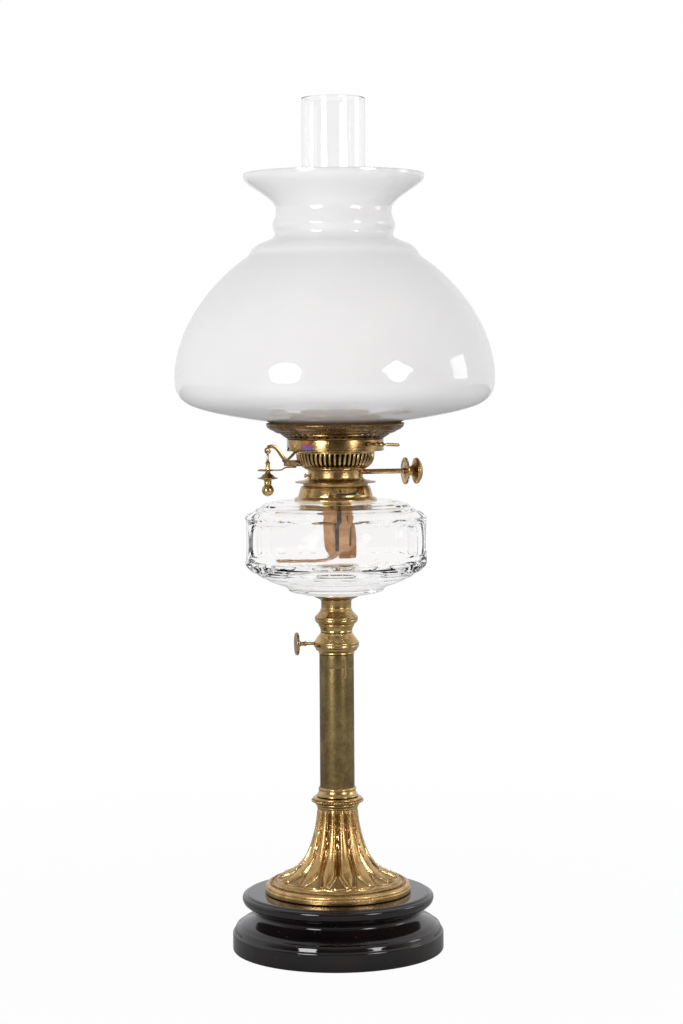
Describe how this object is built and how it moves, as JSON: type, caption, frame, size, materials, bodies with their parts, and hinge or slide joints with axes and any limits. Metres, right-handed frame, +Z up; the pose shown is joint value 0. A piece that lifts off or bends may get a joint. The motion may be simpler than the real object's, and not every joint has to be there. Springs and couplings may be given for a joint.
{
  "type": "kerosene table lamp",
  "caption": "Kerosene table lamp with a glazed plinth, telescopic brass column, clear glass fount, flat-wick burner, glass chimney and opal glass shade.",
  "frame": {"origin": "centre of the plinth's foot, on the surface that the lamp stands on", "axes": "+Z up along the lamp's axis, -Y to the front, the winder knobs near +X"},
  "size_m": [0.2462, 0.2462, 0.6543],
  "materials": {
    "glazed_pottery": "glossy black glaze",
    "cast_brass": "golden cast brass with dark recesses",
    "column_brass": "dull lacquered brass",
    "burner_brass": "aged brass with bronze tarnish",
    "steel": "plain turned steel",
    "clear_glass": "clear polished glass",
    "opal_glass": "glossy white opal glass",
    "cotton": "woven cotton tape"
  },
  "bodies": {
    "base": {"plinth": "glazed_pottery", "foot": "cast_brass", "tie_bolt": "steel", "base_washer": "steel", "base_nut": "steel", "beaded_ring": "cast_brass", "column_collar": "cast_brass", "column_tube": "column_brass", "clamp_collar": "column_brass"},
    "thumbscrew": {"thumbscrew": "column_brass"},
    "stem": {"inner_tube": "column_brass", "fount_knop": "column_brass", "fount_dish": "column_brass", "fount_peg": "burner_brass", "fount": "clear_glass", "fount_collar": "burner_brass"},
    "burner": {"burner_base": "burner_brass", "tube_plate": "burner_brass", "air_basket": "burner_brass", "burner_band": "burner_brass", "front_wick_tube": "burner_brass", "rear_wick_tube": "burner_brass", "burner_screw": "burner_brass", "extinguisher_bracket": "burner_brass", "extinguisher_pin": "burner_brass", "pull_guide": "burner_brass"},
    "front_winder": {"front_winder_tube": "burner_brass", "front_winder_disc": "burner_brass", "front_spur_wheel": "burner_brass"},
    "rear_winder": {"rear_winder_shaft": "burner_brass", "rear_winder_knob": "burner_brass", "rear_spur_wheel": "burner_brass"},
    "front_wick": {"front_wick": "cotton"},
    "rear_wick": {"rear_wick": "cotton"},
    "extinguisher_arm": {"extinguisher_arm": "burner_brass"},
    "extinguisher_pull": {"extinguisher_pull": "burner_brass"},
    "extinguisher_sleeves": {"extinguisher_sleeves": "burner_brass"},
    "lift_lever": {"lift_lever": "burner_brass"},
    "gallery": {"gallery_skirt": "burner_brass", "gallery_dish": "burner_brass", "flame_dome": "burner_brass", "chimney_spring_1": "burner_brass", "chimney_spring_2": "burner_brass", "chimney_spring_3": "burner_brass", "chimney_spring_4": "burner_brass"},
    "chimney": {"chimney": "clear_glass"},
    "shade": {"shade": "opal_glass"}
  },
  "joints": [
    {"name": "thumbscrew_turn", "type": "hinge", "parent": "base", "child": "thumbscrew", "pos_m": [0, 0, 0.2345], "axis": [-0.9848, -0.1736, 0], "range_deg": [0, 360]},
    {"name": "stem_slide", "type": "slide", "parent": "base", "child": "stem", "axis": [0, 0, 1], "range_m": [0, 0.11]},
    {"name": "burner_twist", "type": "hinge", "parent": "stem", "child": "burner", "pos_m": [0, 0, 0.3556], "axis": [0, 0, 1], "range_deg": [0, 28]},
    {"name": "front_winder_turn", "type": "hinge", "parent": "burner", "child": "front_winder", "pos_m": [0, 0, 0.366], "axis": [0.9659, 0.2588, 0], "range_deg": [-60, 20]},
    {"name": "rear_winder_turn", "type": "hinge", "parent": "burner", "child": "rear_winder", "pos_m": [0, 0, 0.366], "axis": [0.9659, 0.2588, 0], "range_deg": [-20, 60]},
    {"name": "front_wick_slide", "type": "slide", "parent": "burner", "child": "front_wick", "axis": [0, 0, 1], "range_m": [-0.002, 0.006]},
    {"name": "rear_wick_slide", "type": "slide", "parent": "burner", "child": "rear_wick", "axis": [0, 0, 1], "range_m": [-0.002, 0.006]},
    {"name": "extinguisher_turn", "type": "hinge", "parent": "burner", "child": "extinguisher_arm", "pos_m": [-0.03854, -0.01033, 0.376], "axis": [0.2588, -0.9659, 0], "range_deg": [0, 22], "stiffness_Nm_per_rad": 0.06, "springref_deg": -17.19},
    {"name": "pull_swing", "type": "hinge", "parent": "extinguisher_arm", "child": "extinguisher_pull", "pos_m": [-0.05168, -0.01385, 0.3834], "axis": [0.2588, -0.9659, 0], "range_deg": [-23, 0]},
    {"name": "sleeve_slide", "type": "slide", "parent": "burner", "child": "extinguisher_sleeves", "axis": [0, 0, 1], "range_m": [0, 0.0066]},
    {"name": "lever_turn", "type": "hinge", "parent": "burner", "child": "lift_lever", "pos_m": [0.02495, -0.02771, 0.3884], "axis": [0.6691, -0.7431, 0], "range_deg": [0, 71]},
    {"name": "gallery_lift", "type": "slide", "parent": "burner", "child": "gallery", "axis": [0, 0, 1], "range_m": [0, 0.008]},
    {"name": "chimney_lift", "type": "slide", "parent": "gallery", "child": "chimney", "axis": [0, 0, 1], "range_m": [0, 0.2]},
    {"name": "shade_lift", "type": "slide", "parent": "gallery", "child": "shade", "axis": [0, 0, 1], "range_m": [0, 0.26]}
  ],
  "couplings": [
    {"joint": "front_wick_slide", "follows": "front_winder_turn", "m_per_rad": -0.0055},
    {"joint": "rear_wick_slide", "follows": "rear_winder_turn", "m_per_rad": 0.0055},
    {"joint": "pull_swing", "follows": "extinguisher_turn", "ratio": -1},
    {"joint": "sleeve_slide", "follows": "extinguisher_turn", "m_per_rad": 0.0165},
    {"joint": "lever_turn", "follows": "gallery_lift", "rad_per_m": 152.7}
  ]
}
